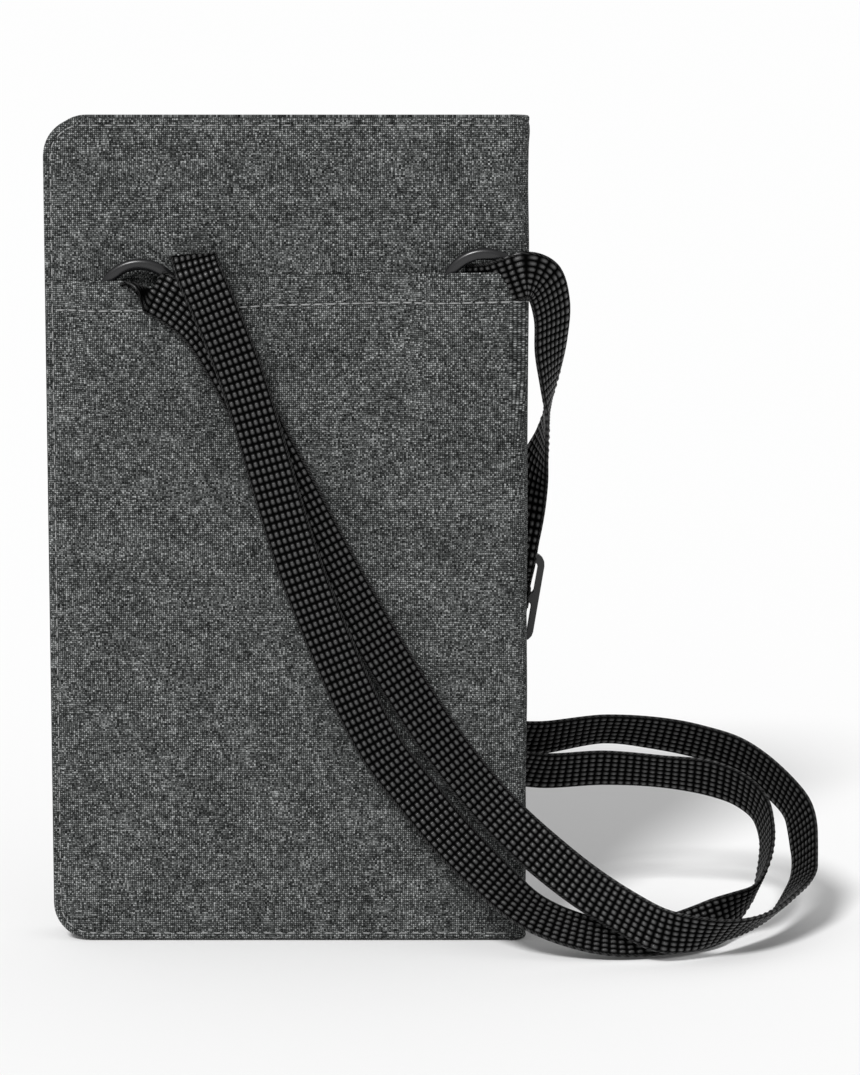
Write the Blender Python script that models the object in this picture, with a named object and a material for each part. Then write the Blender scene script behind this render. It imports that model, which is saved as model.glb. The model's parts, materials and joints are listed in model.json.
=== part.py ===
"""Neck pouch wallet: a flat zipped pouch in melange cloth on an adjustable webbing strap.

Frame: +X to the wearer's left along the pouch's width, +Y from the strap side to the zip side, +Z up.
The origin lies under the middle of the pouch, on the surface that it stands on. Sizes are in
millimetres here and in metres in the meshes.
"""

import math

import bmesh
import bpy
from mathutils import Matrix, Vector

MM = 0.001

# Pouch
WIDTH = 125.0
HEIGHT = 217.0
DEPTH = 16.0
CLOTH = 1.0
GAP = 0.3
CORNER = 10.0
FOLD_RADIUS = 5.0
POCKET_DEPTH = 6.0
POCKET_CLOTH = 0.7
CHAIN_PROUD = 4.6
# The middle plane of the pouch, which centres the whole depth on the origin.
MID = (POCKET_DEPTH + POCKET_CLOTH - CHAIN_PROUD) / 2
LEFT = -WIDTH / 2
RIGHT = WIDTH / 2
FRONT = MID - DEPTH / 2
BACK = MID + DEPTH / 2

# Slip pocket on the strap side
POCKET_TOP_LEFT = 175.5
POCKET_TOP_RIGHT = 177.7
POCKET_RIGHT = 61.0
SLOPE_START = 105.0
SLOPE_END = 150.0
STRAP_NOTCH_LEFT = (-48.0, -10.0, 150.0)
STRAP_NOTCH_RIGHT = (37.5, 155.0)

# Zips
CHAIN_WIDTH = 4.2
CHAIN_HALF_THICKNESS = 1.2
TAPE_BOTTOM = -0.7
TAPE_TOP = -0.1
TOP_ZIP_HEIGHT = 210.2
TOP_CHAIN_HALF = 51.0
TOP_SLIDER_REST = -46.0
POCKET_ZIP_HEIGHT = 171.0
POCKET_ZIP_PLANE = MID + 6.8
POCKET_CHAIN_HALF = 48.5
POCKET_SLOT_HALF = (51.0, 3.6)
POCKET_SLIDER_REST = 42.0
SLIDER_LENGTH = 8.5
SLIDER_WIDTH = 6.4
PLATE_BOTTOM = 1.5
PLATE_TOP = 3.1
HINGE_HEIGHT = 4.0
BAIL_TOP = 5.8
PULL_LENGTH = 16.0
PULL_WIDTH = 6.0
PULL_THICKNESS = 1.0

# Strap and its fittings
STRAP_WIDTH = 12.0
STRAP_THICKNESS = 1.2
RING_RADIUS = 11.5
RING_BAND = 3.0
RING_THICKNESS = 2.4
RING_LEAN = 6.0
RING_FOOT_Y = -9.3
LEFT_RING = (-37.5, 169.8)
RIGHT_RING = (51.0, 172.5)
TAB_WIDTH = 10.0
TAB_THICKNESS = 0.6
GLIDE_CENTRE = (57.6, 13.5, 89.5)
GLIDE_LEAN = 9.4
GLIDE_WIDTH = 17.0
GLIDE_LENGTH = 24.0
GLIDE_THICKNESS = 2.4
GLIDE_BAR = 2.4
GLIDE_SLOT = (13.4, 8.4)

# The strap's route: the middle of the webbing, then the direction of its width.
# From the right ring over the pouch's right edge and down behind it to the glide.
RING_RUN = [
    ((46.8, -8.6, 173.6), (0, -0.1, 1)),
    ((50.2, -9.6, 174.0), (0, -0.25, 0.96)),
    ((54.0, -11.6, 174.8), (-0.05, -0.33, 0.94)),
    ((58.0, -14.0, 176.2), (-0.05, -0.2, 0.97)),
    ((62.0, -14.9, 177.3), (0, 0, 1)),
    ((66.0, -11.8, 175.3), (0.5, 0.1, 0.8)),
    ((68.5, -6.5, 167.5), (0.75, 0.45, 0.4)),
    ((68.5, -2.0, 158.0), (0.7, 0.62, 0.25)),
    ((68.5, 2.0, 148.5), (0.42, 0.88, 0.1)),
    ((68.0, 5.5, 140.0), (0.05, 1, 0)),
    ((66.5, 9.5, 130.5), (-0.3, 0.95, 0)),
    ((63.5, 13.0, 119.5), (-0.8, 0.6, 0)),
]
# From the glide out to the right as a standing hoop, round to the front and up to the left ring.
OUTER_RUN = [
    ((53.3, 17.0, 64.0), (1, 0, 0.05)),
    ((53.3, 19.8, 56.0), (0.85, -0.2, 0.45)),
    ((57.5, 24.0, 49.0), (0.3, -0.45, 0.8)),
    ((65.5, 28.0, 47.0), (0.05, -0.5, 0.85)),
    ((85.0, 35.0, 48.0), (-0.1, -0.62, 0.75)),
    ((98.5, 37.0, 46.5), (-0.1, -0.5, 0.8)),
    ((111.0, 37.0, 44.0), (-0.05, -0.45, 0.87)),
    ((122.0, 34.0, 40.5), (0.1, -0.4, 0.9)),
    ((130.0, 28.0, 35.5), (0.4, -0.6, 0.7)),
    ((136.0, 20.0, 29.5), (0.5, -0.8, 0.2)),
    ((137.5, 12.0, 22.5), (0.45, -0.88, 0.12)),
    ((136.5, 4.0, 15.0), (0.32, -0.92, 0.15)),
    ((130.5, -9.0, 10.5), (0.03, -0.95, 0.28)),
    ((122.5, -19.0, 8.0), (0, -0.9, 0.42)),
    ((113.5, -26.5, 7.5), (0.05, -0.75, 0.65)),
    ((105.0, -30.0, 7.8), (0.2, -0.4, 0.88)),
    ((96.5, -30.5, 9.0), (0.35, -0.1, 0.93)),
    ((87.5, -27.5, 13.0), (0.42, -0.1, 0.9)),
    ((78.0, -23.5, 18.2), (0.5, 0, 0.85)),
    ((68.5, -20.5, 25.0), (0.57, 0.1, 0.8)),
    ((58.0, -18.0, 34.0), (0.62, 0.3, 0.73)),
    ((47.5, -16.3, 45.5), (0.7, 0.3, 0.62)),
    ((35.5, -15.5, 62.0), (0.8, 0.2, 0.52)),
    ((16.5, -15.3, 94.0), (0.88, 0.05, 0.46)),
    ((-3.5, -15.3, 132.0), (0.9, 0, 0.42)),
    ((-20.5, -15.4, 163.0), (0.85, 0, 0.5)),
    ((-27.0, -15.3, 169.0), (0.85, 0, 0.5)),
    ((-32.0, -15.2, 172.1), (0.95, 0, 0.15)),
    ((-35.2, -14.6, 173.4), (1, 0, -0.2)),
    ((-36.9, -12.8, 173.1), (1, 0, -0.2)),
    ((-37.5, -11.0, 171.8), (1, 0, -0.1)),
    ((-37.5, -9.6, 169.5), (1, 0, 0)),
    ((-37.5, -8.6, 166.2), (1, 0, 0)),
]
# From beside the left ring over the pocket's mouth, down the front and back as the inner hoop.
RETURN_RUN = [
    ((-17.0, -8.2, 160.0), (0.93, 0, 0.36)),
    ((-20.5, -8.2, 170.0), (0.93, 0, 0.36)),
    ((-23.2, -8.8, 178.5), (0.97, 0, 0.24)),
    ((-23.6, -12.6, 182.0), (0.99, 0, 0.08)),
    ((-22.0, -17.0, 178.0), (0.97, 0, 0.24)),
    ((-18.5, -17.9, 170.0), (0.9, 0, 0.43)),
    ((-11.5, -17.7, 152.0), (0.95, 0, 0.3)),
    ((5.0, -17.7, 97.5), (0.93, 0, 0.35)),
    ((23.5, -17.6, 55.5), (0.87, 0, 0.48)),
    ((33.0, -17.6, 42.5), (0.78, 0.1, 0.62)),
    ((42.0, -18.6, 31.5), (0.68, 0.25, 0.68)),
    ((52.0, -20.2, 21.3), (0.55, 0.45, 0.7)),
    ((63.0, -22.0, 12.0), (0.38, 0.7, 0.6)),
    ((75.0, -23.0, 6.9), (0.22, 0.78, 0.58)),
    ((86.5, -22.5, 4.6), (0.05, 0.8, 0.6)),
    ((98.5, -19.5, 4.6), (-0.15, 0.75, 0.62)),
    ((109.0, -14.5, 5.8), (-0.4, 0.3, 0.8)),
    ((117.0, -8.5, 8.2), (-0.45, -0.6, 0.62)),
    ((122.5, -3.0, 11.2), (-0.15, -0.92, 0.35)),
    ((126.0, 3.5, 17.0), (0.08, -0.96, 0.24)),
    ((127.5, 12.0, 24.5), (0.2, -0.95, 0.2)),
    ((126.0, 18.0, 30.0), (0.36, -0.85, 0.38)),
    ((121.5, 23.0, 33.5), (0.42, -0.68, 0.65)),
    ((113.5, 27.0, 36.0), (0.2, -0.45, 0.87)),
    ((100.0, 29.0, 37.5), (-0.05, -0.5, 0.84)),
    ((84.5, 29.0, 38.5), (-0.05, -0.45, 0.87)),
    ((67.0, 24.5, 38.8), (0.05, -0.45, 0.87)),
    ((57.0, 20.0, 42.0), (0.35, -0.4, 0.8)),
    ((52.3, 15.8, 49.5), (0.9, -0.1, 0.4)),
    ((52.4, 12.8, 59.0), (1, 0, 0.1)),
]
# Through the glide: distance along it from its middle, upwards, and across its thickness, backwards.
WEAVE_ABOVE_BAR = [(16, -2.2), (12, -2.2), (8.5, -2.0), (5.6, 0.8), (4.2, 2.2)]
WEAVE_BELOW_BAR = [(3.9, 2.5), (2.6, 3.4), (0, 3.9), (-5, 3.7), (-11, 2.8), (-16, 2.8)]
RETURN_WEAVE = [(-18, -2.8), (-12, -2.4), (-8.8, -2.0), (-5.4, 0.2), (-2.6, 1.9), (0, 2.3)]
RETURN_WEAVE += [(1.6, 2.0), (2.4, 0.8), (2.4, -0.6), (1.6, -1.9), (0.2, -2.4), (-2.6, -2.5)]


# Materials: colour, roughness, metallic
CLOTH_GREY = ("melange_cloth", (0.085, 0.09, 0.095), 0.9, 0.0)
WEBBING_BLACK = ("black_webbing", (0.018, 0.019, 0.02), 0.75, 0.0)
LINING_GREY = ("lining_cloth", (0.16, 0.165, 0.17), 0.85, 0.0)
FOAM_BLACK = ("closed_cell_foam", (0.03, 0.03, 0.03), 0.95, 0.0)
SHIELD_SILVER = ("shield_foil", (0.55, 0.56, 0.57), 0.4, 0.9)
PLASTIC_BLACK = ("black_plastic", (0.012, 0.012, 0.013), 0.35, 0.0)
TAPE_BLACK = ("zip_tape", (0.02, 0.02, 0.021), 0.85, 0.0)
CHAIN_BLACK = ("zip_coil", (0.015, 0.015, 0.016), 0.45, 0.0)
METAL_DARK = ("dark_nickel", (0.12, 0.12, 0.125), 0.3, 1.0)


def material(spec):
    name, colour, roughness, metallic = spec
    found = bpy.data.materials.get(name)
    if found:
        return found
    made = bpy.data.materials.new(name)
    made.use_nodes = True
    shader = made.node_tree.nodes["Principled BSDF"]
    shader.inputs["Base Color"].default_value = (*colour, 1.0)
    shader.inputs["Roughness"].default_value = roughness
    shader.inputs["Metallic"].default_value = metallic
    made.diffuse_color = (*colour, 1.0)
    return made


def add(name, bm, spec, smooth=False):
    """Makes a named object from a bmesh in millimetres."""
    bmesh.ops.scale(bm, vec=(MM, MM, MM), verts=bm.verts)
    bmesh.ops.recalc_face_normals(bm, faces=bm.faces)
    mesh = bpy.data.meshes.new(name)
    bm.to_mesh(mesh)
    bm.free()
    if smooth:
        mesh.shade_smooth()
    made = bpy.data.objects.new(name, mesh)
    bpy.context.collection.objects.link(made)
    made.data.materials.append(material(spec))
    return made


def prism(outline, axis, low, high):
    """A closed outline, extruded from low to high along an axis.

    The outline's points are (x, z) for axis Y, (x, y) for axis Z and (y, z) for axis X.
    """
    places = {
        "X": lambda a, b, w: (w, a, b),
        "Y": lambda a, b, w: (a, w, b),
        "Z": lambda a, b, w: (a, b, w),
    }
    place = places[axis]
    bm = bmesh.new()
    rings = [[bm.verts.new(place(a, b, w)) for a, b in outline] for w in (low, high)]
    count = len(outline)
    bm.faces.new(rings[0])
    bm.faces.new(rings[1])
    for i in range(count):
        j = (i + 1) % count
        bm.faces.new((rings[0][i], rings[0][j], rings[1][j], rings[1][i]))
    return bm


def box(low, high):
    outline = [(low[0], low[1]), (high[0], low[1]), (high[0], high[1]), (low[0], high[1])]
    return prism(outline, "Z", low[2], high[2])


def arc(centre, radius, start, end, steps=6):
    """Points on an arc between two angles in degrees, both ends included."""
    points = []
    for i in range(steps + 1):
        angle = math.radians(start + (end - start) * i / steps)
        points.append((centre[0] + radius * math.cos(angle), centre[1] + radius * math.sin(angle)))
    return points


def rounded(low, high, radii, steps=6):
    """A rectangle with rounded corners: radii at low-low, high-low, high-high and low-high."""
    corners = [
        (low[0], low[1], 1, 1, 180),
        (high[0], low[1], -1, 1, 270),
        (high[0], high[1], -1, -1, 0),
        (low[0], high[1], 1, -1, 90),
    ]
    outline = []
    for (x, y, dx, dy, start), radius in zip(corners, radii):
        if radius == 0:
            outline.append((x, y))
        else:
            outline += arc((x + dx * radius, y + dy * radius), radius, start, start + 90, steps)
    return outline


def modify(target, tool_bm, operation):
    """A Boolean between the target and a hidden tool solid."""
    tool = add("cutter_" + target.name + str(len(target.modifiers)), tool_bm, PLASTIC_BLACK)
    tool.hide_render = True
    tool.display_type = "WIRE"
    modifier = target.modifiers.new("boolean", "BOOLEAN")
    modifier.operation = operation
    modifier.solver = "EXACT"
    modifier.object = tool


def smooth_route(stations, steps):
    """A Catmull-Rom curve through the stations: places, directions and widths."""
    places = [Vector(place) for place, _ in stations]
    widths = [Vector(width) for _, width in stations]

    def curve(values):
        ends = [2 * values[0] - values[1]] + values + [2 * values[-1] - values[-2]]
        points = []
        for i in range(len(values) - 1):
            a, b, c, d = ends[i : i + 4]
            for k in range(steps):
                t = k / steps
                cubic = -a + 3 * b - 3 * c + d
                square = 2 * a - 5 * b + 4 * c - d
                points.append(0.5 * (2 * b + (c - a) * t + square * t * t + cubic * t * t * t))
        return points + [values[-1]]

    places = curve(places)
    widths = curve(widths)
    route = []
    for i, place in enumerate(places):
        forward = (places[min(i + 1, len(places) - 1)] - places[max(i - 1, 0)]).normalized()
        width = (widths[i] - forward * widths[i].dot(forward)).normalized()
        route.append((place, forward, width))
    return route


def ribbon(stations, width, thickness, steps=1):
    """A flat band of constant width and thickness along a route."""
    bm = bmesh.new()
    rings = []
    for place, forward, across in smooth_route(stations, steps):
        up = forward.cross(across)
        side = across * (width / 2)
        rise = up * (thickness / 2)
        corners = (-side - rise, side - rise, side + rise, -side + rise)
        rings.append([bm.verts.new(place + corner) for corner in corners])
    for a, b in zip(rings, rings[1:]):
        for i in range(4):
            j = (i + 1) % 4
            bm.faces.new((a[i], a[j], b[j], b[i]))
    bm.faces.new(rings[0])
    bm.faces.new(rings[-1])
    return bm


def outer_shell():
    """One cloth folded round the right side, as the strap side and the zip side of the pouch."""
    inner = FOLD_RADIUS - CLOTH
    outline = [(LEFT, FRONT)]
    outline += arc((RIGHT - FOLD_RADIUS, FRONT + FOLD_RADIUS), FOLD_RADIUS, 270, 360)
    outline += arc((RIGHT - FOLD_RADIUS, BACK - FOLD_RADIUS), FOLD_RADIUS, 0, 90)
    outline += [(LEFT, BACK), (LEFT, BACK - CLOTH)]
    outline += arc((RIGHT - FOLD_RADIUS, BACK - FOLD_RADIUS), inner, 90, 0)
    outline += arc((RIGHT - FOLD_RADIUS, FRONT + FOLD_RADIUS), inner, 0, -90)
    outline += [(LEFT, FRONT + CLOTH)]
    shell = add("outer_shell", prism(outline, "Z", 0, HEIGHT), CLOTH_GREY)
    beyond = 20
    face = rounded((LEFT, 0), (RIGHT + beyond, HEIGHT), (CORNER, 0, 0, CORNER))
    modify(shell, prism(face, "Y", FRONT - beyond, BACK + beyond), "INTERSECT")
    half_x, half_z = POCKET_SLOT_HALF
    low = (-half_x, BACK - 2 * CLOTH, POCKET_ZIP_HEIGHT - half_z)
    high = (half_x, BACK + CLOTH, POCKET_ZIP_HEIGHT + half_z)
    modify(shell, box(low, high), "DIFFERENCE")


def gusset_band():
    """The cloth band that joins the two sides along the left edge and the bottom."""
    end = RIGHT - CLOTH - GAP
    outline = [(LEFT + CORNER, HEIGHT)]
    outline += arc((LEFT + CORNER, HEIGHT - CORNER), CORNER, 90, 180)
    outline += arc((LEFT + CORNER, CORNER), CORNER, 180, 270)
    outline += [(end + CORNER, 0), (end + CORNER, CLOTH)]
    outline += arc((LEFT + CORNER, CORNER), CORNER - CLOTH, 270, 180)
    outline += arc((LEFT + CORNER, HEIGHT - CORNER), CORNER - CLOTH, 180, 90)
    low = FRONT + CLOTH + GAP
    high = BACK - CLOTH - GAP
    band = add("gusset_band", prism(outline, "Y", low, high), CLOTH_GREY)
    radius = FOLD_RADIUS - CLOTH - GAP
    room = rounded((LEFT - CORNER, low), (end, high), (0, radius, radius, 0))
    modify(band, prism(room, "Z", -CORNER, HEIGHT + CORNER), "INTERSECT")


def slip_pocket():
    """The cloth pocket on the strap side: flat below, standing off the shell at its mouth."""
    low_y = FRONT - GAP
    mouth_y = FRONT - POCKET_DEPTH
    slope = (POCKET_TOP_RIGHT - POCKET_TOP_LEFT) / (POCKET_RIGHT - LEFT)
    notch_start, notch_end, notch_low = STRAP_NOTCH_LEFT
    corner_start, corner_low = STRAP_NOTCH_RIGHT

    def top(x):
        return POCKET_TOP_LEFT + slope * (x - LEFT)

    profile = [
        (low_y, 0),
        (low_y, SLOPE_START),
        (mouth_y, SLOPE_END),
        (mouth_y, HEIGHT),
        (mouth_y - POCKET_CLOTH, HEIGHT),
        (mouth_y - POCKET_CLOTH, SLOPE_END),
        (low_y - POCKET_CLOTH, SLOPE_START),
        (low_y - POCKET_CLOTH, 0),
    ]
    pocket = add("slip_pocket", prism(profile, "X", LEFT, POCKET_RIGHT), CLOTH_GREY)
    face = arc((LEFT + CORNER, CORNER), CORNER, 180, 270)
    face += [(POCKET_RIGHT, 0), (POCKET_RIGHT, corner_low), (corner_start, corner_low)]
    face += [(corner_start, top(corner_start)), (notch_end, top(notch_end)), (notch_end, notch_low)]
    face += [(notch_start, notch_low), (notch_start, top(notch_start)), (LEFT, POCKET_TOP_LEFT)]
    wider = 5
    modify(pocket, prism(face, "Y", mouth_y - wider, FRONT + wider), "INTERSECT")


def inner_layers():
    """The flat pieces sewn inside, from the strap side to the zip side."""
    left = LEFT + CLOTH + 1.4
    right = RIGHT - FOLD_RADIUS + 0.5
    floor = CLOTH + 0.6
    # name, near and far face from the middle plane, top edge, material
    layers = [
        ("strap_side_foam", -6.7, -5.2, 204, FOAM_BLACK),
        ("strap_side_shield", -4.9, -4.5, 203, SHIELD_SILVER),
        ("strap_side_lining", -4.2, -3.7, 205, LINING_GREY),
        ("card_panel_upper", -3.4, -2.9, 150, LINING_GREY),
        ("card_panel_middle", -2.6, -2.1, 115, LINING_GREY),
        ("card_panel_lower", -1.8, -1.3, 80, LINING_GREY),
        ("passport_sleeve", 1.1, 1.6, 132, LINING_GREY),
        ("zip_side_lining", 1.9, 2.4, 205, LINING_GREY),
        ("zip_side_shield", 2.7, 3.1, 203, SHIELD_SILVER),
        ("zip_side_foam", 3.4, 4.6, 204, FOAM_BLACK),
        ("front_pocket_lining", 4.9, 5.3, 186, LINING_GREY),
    ]
    for name, near, far, top, spec in layers:
        outline = rounded((left, floor), (right, top), (CORNER - 2, 1, 1, 3), 4)
        add(name, prism(outline, "Y", MID + near, MID + far), spec)


def zip_frame(origin, along, across, out):
    """Turns the zip's own axes (along the chain, across it, away from it) to the pouch's."""
    turn = Matrix((along, across, out)).transposed().to_4x4()
    return Matrix.Translation(Vector(origin)) @ turn


def zip_chain(prefix, frame, chain_half, tape_half, tape_reach):
    """The two tapes, the closed coil between them and its end stops."""
    edge = CHAIN_WIDTH / 2
    for side, name in ((-1, "_tape_near"), (1, "_tape_far")):
        near, far = sorted((side * (edge + GAP), side * tape_reach))
        bm = box((-tape_half, near, TAPE_BOTTOM), (tape_half, far, TAPE_TOP))
        bm.transform(frame)
        add(prefix + name, bm, TAPE_BLACK)
    ridge = 0.7
    outline = [(-edge, -CHAIN_HALF_THICKNESS + ridge), (-edge + ridge, -CHAIN_HALF_THICKNESS)]
    outline += [(edge - ridge, -CHAIN_HALF_THICKNESS), (edge, -CHAIN_HALF_THICKNESS + ridge)]
    outline += [(edge, CHAIN_HALF_THICKNESS - ridge), (edge - ridge, CHAIN_HALF_THICKNESS)]
    outline += [(-edge + ridge, CHAIN_HALF_THICKNESS), (-edge, CHAIN_HALF_THICKNESS - ridge)]
    bm = prism(outline, "X", -chain_half, chain_half)
    bm.transform(frame)
    add(prefix + "_coil", bm, CHAIN_BLACK)
    stop = 1.4
    for side, name in ((-1, "_stop_start"), (1, "_stop_end")):
        start, end = sorted((side * (chain_half + GAP), side * (chain_half + GAP + stop)))
        bm = box((start, -edge, -CHAIN_HALF_THICKNESS), (end, edge, CHAIN_HALF_THICKNESS))
        bm.transform(frame)
        add(prefix + name, bm, METAL_DARK)


def at_joint(made, origin):
    """Moves an object's origin to a place on its joint, leaving its mesh where it is."""
    place = Vector(origin) * MM
    made.data.transform(Matrix.Translation(-place))
    made.location = place


def zip_slider(prefix, frame):
    """A slider that rides on the chain, and the pull tab hinged in its bail."""
    length = SLIDER_LENGTH / 2
    wide = SLIDER_WIDTH / 2
    lip = 0.8
    leg = 1.0
    bail_half = 3.2
    profile = [(-wide, lip), (-wide + lip, lip), (-wide + lip, PLATE_BOTTOM)]
    profile += [(wide - lip, PLATE_BOTTOM), (wide - lip, lip), (wide, lip)]
    profile += [(wide, PLATE_TOP - 0.5), (wide - 0.5, PLATE_TOP)]
    profile += [(-wide + 0.5, PLATE_TOP), (-wide, PLATE_TOP - 0.5)]
    bm = prism(profile, "X", -length, length)
    bm.transform(frame)
    slider = add(prefix + "_slider", bm, METAL_DARK)
    arch = [(-bail_half, PLATE_TOP - 0.4), (bail_half, PLATE_TOP - 0.4)]
    arch += [(bail_half, BAIL_TOP - 1.2), (bail_half - 1.2, BAIL_TOP)]
    arch += [(-bail_half + 1.2, BAIL_TOP), (-bail_half, BAIL_TOP - 1.2)]
    bm = prism(arch, "Y", -0.8, 0.8)
    bm.transform(frame)
    modify(slider, bm, "UNION")
    bm = box((-bail_half + leg, -2, PLATE_TOP), (bail_half - leg, 2, BAIL_TOP - 1.0))
    bm.transform(frame)
    modify(slider, bm, "DIFFERENCE")
    at_joint(slider, frame @ Vector((0, 0, HINGE_HEIGHT)))

    bar = 0.45
    window = (bar, 4.0)
    eye = 2.3
    half = PULL_WIDTH / 2
    outline = [(-bar, -eye), (window[1], -eye)]
    outline += [(window[1] + 1.5, -half)] + arc((PULL_LENGTH - half, 0), half, -90, 90, 8)
    outline += [(window[1] + 1.5, half), (window[1], eye), (-bar, eye)]
    low = HINGE_HEIGHT - PULL_THICKNESS / 2
    high = HINGE_HEIGHT + PULL_THICKNESS / 2
    bm = prism(outline, "Z", low, high)
    bm.transform(frame)
    pull = add(prefix + "_pull", bm, METAL_DARK)
    bm = box((window[0], -1.1, low - 1), (window[1], 1.1, high + 1))
    bm.transform(frame)
    modify(pull, bm, "DIFFERENCE")
    at_joint(pull, frame @ Vector((0, 0, HINGE_HEIGHT)))


def zips():
    axes = ((1, 0, 0), (0, 1, 0), (0, 0, 1))
    middle = zip_frame((0, MID, TOP_ZIP_HEIGHT), *axes)
    tape_reach = DEPTH / 2 - CLOTH - GAP
    zip_chain("top_zip", middle, TOP_CHAIN_HALF, RIGHT - FOLD_RADIUS, tape_reach)
    zip_slider("top_zip", zip_frame((TOP_SLIDER_REST, MID, TOP_ZIP_HEIGHT), *axes))
    for side, name in ((-1, "top_zip_tab_left"), (1, "top_zip_tab_right")):
        low, high = sorted((side * 53.0, side * 57.5))
        edge = CHAIN_HALF_THICKNESS + GAP
        bm = box((low, -tape_reach, edge), (high, tape_reach, edge + 0.6))
        bm.transform(middle)
        add(name, bm, CLOTH_GREY)
    axes = ((-1, 0, 0), (0, 0, 1), (0, 1, 0))
    middle = zip_frame((0, POCKET_ZIP_PLANE, POCKET_ZIP_HEIGHT), *axes)
    zip_chain("pocket_zip", middle, POCKET_CHAIN_HALF, POCKET_SLOT_HALF[0] + 4, 9.5)
    origin = (POCKET_SLIDER_REST, POCKET_ZIP_PLANE, POCKET_ZIP_HEIGHT)
    zip_slider("pocket_zip", zip_frame(origin, *axes))


def strap_ring(name, centre):
    """A moulded ring whose top leans away from the pouch."""
    x, z = centre
    bm = bmesh.new()
    middle = RING_RADIUS - RING_BAND / 2
    around = 40
    section = 10
    rings = []
    for i in range(around):
        angle = 2 * math.pi * i / around
        loop = []
        for k in range(section):
            turn = 2 * math.pi * k / section
            radius = middle + RING_BAND / 2 * math.cos(turn)
            depth = RING_THICKNESS / 2 * math.sin(turn)
            loop.append(bm.verts.new((radius * math.cos(angle), depth, radius * math.sin(angle))))
        rings.append(loop)
    for i in range(around):
        a = rings[i]
        b = rings[(i + 1) % around]
        for k in range(section):
            j = (k + 1) % section
            bm.faces.new((a[k], a[j], b[j], b[k]))
    foot = Matrix.Translation((0, 0, middle))
    lean = Matrix.Rotation(math.radians(RING_LEAN), 4, "X")
    bm.transform(Matrix.Translation((x, RING_FOOT_Y, z - middle)) @ lean @ foot)
    add(name, bm, PLASTIC_BLACK, smooth=True)


def ring_tab(name, centre):
    """The webbing tab that holds a ring: folded through it and sewn flat to the shell."""
    x, z = centre
    foot = z - RING_RADIUS + RING_BAND / 2
    near = FRONT - GAP - TAB_THICKNESS / 2
    far = near - TAB_THICKNESS - GAP
    round_y = RING_THICKNESS / 2 + 2 * GAP + TAB_THICKNESS / 2
    middle = RING_RADIUS - RING_BAND / 2
    rise = middle - math.sqrt(middle ** 2 - (TAB_WIDTH / 2) ** 2)
    round_z = rise + RING_BAND / 2 + 2 * GAP + TAB_THICKNESS / 2
    width = (1, 0, 0)
    stations = [((x, near, foot - 22), width), ((x, near, foot - 8), width)]
    stations.append(((x, near, foot - 1), width))
    for angle in (25, 60, 90, 120, 155, 185):
        turn = math.radians(angle)
        place = (x, RING_FOOT_Y + round_y * math.cos(turn), foot + round_z * math.sin(turn))
        stations.append((place, width))
    stations += [((x, far - 1.6, foot - 4.5), width), ((x, far - 0.2, foot - 9), width)]
    stations += [((x, far, foot - 12), width), ((x, far, foot - 22), width)]
    add(name, ribbon(stations, TAB_WIDTH, TAB_THICKNESS), WEBBING_BLACK)


def glide_point(along, back):
    """A place by its distance up the glide and its distance behind the glide's middle plane."""
    lean = math.radians(GLIDE_LEAN)
    x, y, z = GLIDE_CENTRE
    return (x + along * math.sin(lean), y + back, z + along * math.cos(lean))


def strap_glide():
    """The three-bar glide that sets the strap's length."""
    half_w = GLIDE_WIDTH / 2
    half_l = GLIDE_LENGTH / 2
    half_t = GLIDE_THICKNESS / 2
    outline = rounded((-half_w, -half_l), (half_w, half_l), (3, 3, 3, 3), 4)
    lean = Matrix.Rotation(math.radians(GLIDE_LEAN), 4, "Y")
    place = Matrix.Translation(GLIDE_CENTRE) @ lean
    bm = prism(outline, "Y", -half_t, half_t)
    bm.transform(place)
    glide = add("strap_glide", bm, PLASTIC_BLACK)
    slot_w, slot_l = GLIDE_SLOT
    for side in (-1, 1):
        low, high = sorted((side * GLIDE_BAR / 2, side * (GLIDE_BAR / 2 + slot_l)))
        bm = prism(rounded((-slot_w / 2, low), (slot_w / 2, high), (1, 1, 1, 1), 2), "Y", -3, 3)
        bm.transform(place)
        modify(glide, bm, "DIFFERENCE")


def straps():
    lean = math.radians(GLIDE_LEAN)
    width = (-math.cos(lean), 0, math.sin(lean))
    above = [(glide_point(*point), width) for point in WEAVE_ABOVE_BAR]
    width = tuple(-v for v in width)
    below = [(glide_point(*point), width) for point in WEAVE_BELOW_BAR]
    end = [(glide_point(*point), width) for point in RETURN_WEAVE]
    runs = {"ring": RING_RUN + above, "outer": below + OUTER_RUN, "return": RETURN_RUN + end}
    for name, stations in runs.items():
        bm = ribbon(stations, STRAP_WIDTH, STRAP_THICKNESS)
        add("strap_" + name + "_run", bm, WEBBING_BLACK)


def clear_scene():
    for existing in list(bpy.data.objects):
        bpy.data.objects.remove(existing, do_unlink=True)


def main():
    clear_scene()
    outer_shell()
    gusset_band()
    slip_pocket()
    inner_layers()
    zips()
    strap_ring("left_strap_ring", LEFT_RING)
    strap_ring("right_strap_ring", RIGHT_RING)
    ring_tab("left_ring_tab", LEFT_RING)
    ring_tab("right_ring_tab", RIGHT_RING)
    strap_glide()
    straps()


main()
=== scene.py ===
import json
import math

import bpy
import numpy as np
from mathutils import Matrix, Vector, noise


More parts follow.
